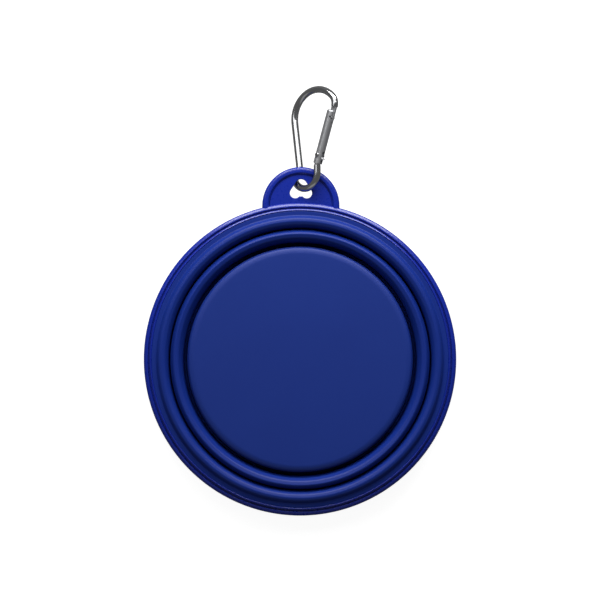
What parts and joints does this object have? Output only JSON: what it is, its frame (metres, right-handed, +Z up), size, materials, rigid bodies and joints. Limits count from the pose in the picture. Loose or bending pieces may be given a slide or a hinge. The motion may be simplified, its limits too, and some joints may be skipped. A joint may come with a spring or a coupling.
{
  "type": "collapsible bowl",
  "caption": "Round silicone travel bowl folded flat, with nested fold rings that pull up into a bowl, a stiff rim hoop, a hang tab and a sprung wire carabiner.",
  "frame": {"origin": "on the bowl's axis, in the plane of the surface that the foot ring stands on", "axes": "+Z up along the bowl's axis, +Y from the axis towards the hang tab and the carabiner; the rest pose is folded flat"},
  "size_m": [0.13, 0.179, 0.0168],
  "materials": {
    "silicone": "satin",
    "hoop_plastic": "satin",
    "polished_wire": "polished",
    "satin_steel": "satin",
    "spring_steel": "satin"
  },
  "bodies": {
    "base": {"base_plate": "silicone", "foot_ring": "silicone"},
    "lower_wall": {"lower_fold_wall": "silicone"},
    "band": {"middle_band": "silicone"},
    "upper_wall": {"upper_fold_wall": "silicone"},
    "rim": {"rim_collar": "silicone", "rim_hoop": "hoop_plastic"},
    "clip": {"carabiner_frame": "polished_wire", "hinge_rivet": "polished_wire", "latch_pin": "polished_wire"},
    "gate": {"carabiner_gate": "satin_steel", "gate_spring": "spring_steel"},
    "plunger": {"spring_plunger": "spring_steel"}
  },
  "joints": [
    {"name": "lower_fold", "type": "slide", "parent": "base", "child": "band", "axis": [0, 0, 1], "range_m": [0, 0.0204]},
    {"name": "lower_fold_roll", "type": "slide", "parent": "base", "child": "lower_wall", "axis": [0, 0, 1], "range_m": [0, 0.0102]},
    {"name": "upper_fold", "type": "slide", "parent": "band", "child": "rim", "axis": [0, 0, 1], "range_m": [0, 0.0204]},
    {"name": "upper_fold_roll", "type": "slide", "parent": "band", "child": "upper_wall", "axis": [0, 0, 1], "range_m": [0, 0.0102]},
    {"name": "carabiner_tilt", "type": "hinge", "parent": "rim", "child": "clip", "pos_m": [0.00035, 0.07115, 0.009], "axis": [0.0087, -0.9929, 0.1184], "range_deg": [0, 45]},
    {"name": "gate_hinge", "type": "hinge", "parent": "clip", "child": "gate", "pos_m": [0.00733, 0.08475, 0.01297], "axis": [-0.6165, 0.0879, 0.7825], "range_deg": [0, 25], "stiffness_Nm_per_rad": 0.03, "springref_deg": -28.65},
    {"name": "plunger_slide", "type": "slide", "parent": "gate", "child": "plunger", "axis": [0.2472, 0.9651, 0.0863], "range_m": [0, 0.00025], "deforming": ["gate_spring"]}
  ],
  "couplings": [
    {"joint": "lower_fold_roll", "follows": "lower_fold", "ratio": 0.5},
    {"joint": "upper_fold_roll", "follows": "upper_fold", "ratio": 0.5},
    {"joint": "plunger_slide", "follows": "gate_hinge", "m_per_rad": 0.00055}
  ]
}
